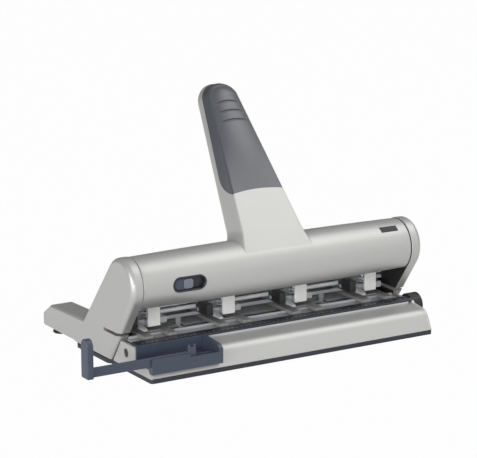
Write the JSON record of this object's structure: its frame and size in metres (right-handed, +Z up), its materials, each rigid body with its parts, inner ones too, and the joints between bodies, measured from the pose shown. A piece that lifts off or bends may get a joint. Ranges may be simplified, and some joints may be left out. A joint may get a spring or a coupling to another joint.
{
  "type": "adjustable hole punch",
  "caption": "Desk punch with a tubular lever and tall handle over sliding punch heads, with ruler, side guide, depth stop and chip drawer.",
  "frame": {"origin": "on the underside of the base pan, straight below the lever's axis and halfway along it", "axes": "+X along the machine to the depth knob, +Y to the back, +Z up"},
  "size_m": [0.3891, 0.2127, 0.238],
  "materials": {
    "silver_paint": "satin metallic paint",
    "light_metal": "satin paint",
    "pan_plastic": "moulded matte",
    "blue_plastic": "moulded satin, blue grey",
    "dark_plastic": "moulded satin",
    "table_steel": "dark oxide",
    "bright_steel": "bright",
    "plain_steel": "zinc plated",
    "brass": "plain",
    "black_plastic": "moulded matte",
    "grip_rubber": "soft matte",
    "foot_rubber": "matte",
    "head_casting": "die cast",
    "white_plastic": "smooth",
    "spring_steel": "drawn wire"
  },
  "bodies": {
    "base": {"base_pan": "pan_plastic", "cheek_left": "silver_paint", "cheek_right": "silver_paint", "front_bar": "silver_paint", "end_plate_left": "light_metal", "end_plate_right": "light_metal", "table_plate": "table_steel", "ruler_strip": "dark_plastic", "front_rail": "plain_steel", "guide_rod_front": "bright_steel", "guide_rod_rear": "bright_steel", "index_rail": "bright_steel", "pivot_shaft": "plain_steel", "shaft_rings": "plain_steel", "rear_panel": "silver_paint", "rear_feet": "foot_rubber", "pan_screws": "plain_steel", "guide_housing": "blue_plastic"},
    "lever": {"lever_casting": "silver_paint", "lever_bushes": "brass", "presser_rod": "plain_steel", "handle_grip": "grip_rubber", "lock_bezel": "dark_plastic"},
    "lock": {"lock_slide": "blue_plastic", "lock_bolt": "plain_steel"},
    "side_guide": {"paper_guide": "blue_plastic"},
    "depth_drive": {"depth_shaft": "plain_steel", "depth_knob": "black_plastic", "depth_pinions": "brass"},
    "depth_stop": {"depth_racks": "plain_steel", "depth_stop": "plain_steel"},
    "chip_drawer": {"chip_drawer": "pan_plastic"},
    "head_1": {"head_body_1": "head_casting", "die_plate_1": "plain_steel", "index_plate_1": "white_plastic", "return_spring_1": "spring_steel"},
    "pin_1": {"punch_pin_1": "bright_steel"},
    "clamp_1": {"clamp_lever_1": "black_plastic"},
    "head_2": {"head_body_2": "head_casting", "die_plate_2": "plain_steel", "index_plate_2": "white_plastic", "return_spring_2": "spring_steel"},
    "pin_2": {"punch_pin_2": "bright_steel"},
    "clamp_2": {"clamp_lever_2": "black_plastic"},
    "head_3": {"head_body_3": "head_casting", "die_plate_3": "plain_steel", "index_plate_3": "white_plastic", "return_spring_3": "spring_steel"},
    "pin_3": {"punch_pin_3": "bright_steel"},
    "clamp_3": {"clamp_lever_3": "black_plastic"},
    "head_4": {"head_body_4": "head_casting", "die_plate_4": "plain_steel", "index_plate_4": "white_plastic", "return_spring_4": "spring_steel"},
    "pin_4": {"punch_pin_4": "bright_steel"},
    "clamp_4": {"clamp_lever_4": "black_plastic"}
  },
  "joints": [
    {"name": "lever_swing", "type": "hinge", "parent": "base", "child": "lever", "pos_m": [0, 0, 0.08], "axis": [-1, 0, 0], "range_deg": [0, 32], "stiffness_Nm_per_rad": 3, "springref_deg": -28.65},
    {"name": "lock_shift", "type": "slide", "parent": "lever", "child": "lock", "axis": [1, 0, 0], "range_m": [0, 0.011]},
    {"name": "guide_slide", "type": "slide", "parent": "base", "child": "side_guide", "axis": [1, 0, 0], "range_m": [-0.03, 0.022]},
    {"name": "depth_turn", "type": "hinge", "parent": "base", "child": "depth_drive", "pos_m": [0, -0.0036, 0.0175], "axis": [1, 0, 0], "range_deg": [-80, 100]},
    {"name": "depth_move", "type": "slide", "parent": "base", "child": "depth_stop", "axis": [0, 1, 0], "range_m": [-0.005, 0.004]},
    {"name": "drawer_slide", "type": "slide", "parent": "base", "child": "chip_drawer", "axis": [0, 1, 0], "range_m": [0, 0.08]},
    {"name": "head_1_slide", "type": "slide", "parent": "base", "child": "head_1", "axis": [1, 0, 0], "range_m": [-0.002, 0.018]},
    {"name": "pin_1_punch", "type": "slide", "parent": "head_1", "child": "pin_1", "axis": [0, 0, -1], "range_m": [0, 0.011], "deforming": ["return_spring_1"]},
    {"name": "clamp_1_press", "type": "hinge", "parent": "head_1", "child": "clamp_1", "pos_m": [-0.14, 0.022, 0.0395], "axis": [1, 0, 0], "range_deg": [0, 8], "stiffness_Nm_per_rad": 0.06, "springref_deg": -11.46},
    {"name": "head_2_slide", "type": "slide", "parent": "base", "child": "head_2", "axis": [1, 0, 0], "range_m": [-0.011, 0.018]},
    {"name": "pin_2_punch", "type": "slide", "parent": "head_2", "child": "pin_2", "axis": [0, 0, -1], "range_m": [0, 0.011], "deforming": ["return_spring_2"]},
    {"name": "clamp_2_press", "type": "hinge", "parent": "head_2", "child": "clamp_2", "pos_m": [-0.06, 0.022, 0.0395], "axis": [1, 0, 0], "range_deg": [0, 8], "stiffness_Nm_per_rad": 0.06, "springref_deg": -11.46},
    {"name": "head_3_slide", "type": "slide", "parent": "base", "child": "head_3", "axis": [1, 0, 0], "range_m": [-0.018, 0.018]},
    {"name": "pin_3_punch", "type": "slide", "parent": "head_3", "child": "pin_3", "axis": [0, 0, -1], "range_m": [0, 0.011], "deforming": ["return_spring_3"]},
    {"name": "clamp_3_press", "type": "hinge", "parent": "head_3", "child": "clamp_3", "pos_m": [0.02, 0.022, 0.0395], "axis": [1, 0, 0], "range_deg": [0, 8], "stiffness_Nm_per_rad": 0.06, "springref_deg": -11.46},
    {"name": "head_4_slide", "type": "slide", "parent": "base", "child": "head_4", "axis": [1, 0, 0], "range_m": [-0.01, 0.009]},
    {"name": "pin_4_punch", "type": "slide", "parent": "head_4", "child": "pin_4", "axis": [0, 0, -1], "range_m": [0, 0.011], "deforming": ["return_spring_4"]},
    {"name": "clamp_4_press", "type": "hinge", "parent": "head_4", "child": "clamp_4", "pos_m": [0.1, 0.022, 0.0395], "axis": [1, 0, 0], "range_deg": [0, 8], "stiffness_Nm_per_rad": 0.06, "springref_deg": -11.46}
  ],
  "couplings": [
    {"joint": "depth_turn", "follows": "depth_move", "rad_per_m": -312.5},
    {"joint": "pin_1_punch", "follows": "lever_swing", "m_per_rad": 0.0195},
    {"joint": "pin_2_punch", "follows": "lever_swing", "m_per_rad": 0.0195},
    {"joint": "pin_3_punch", "follows": "lever_swing", "m_per_rad": 0.0195},
    {"joint": "pin_4_punch", "follows": "lever_swing", "m_per_rad": 0.0195}
  ]
}
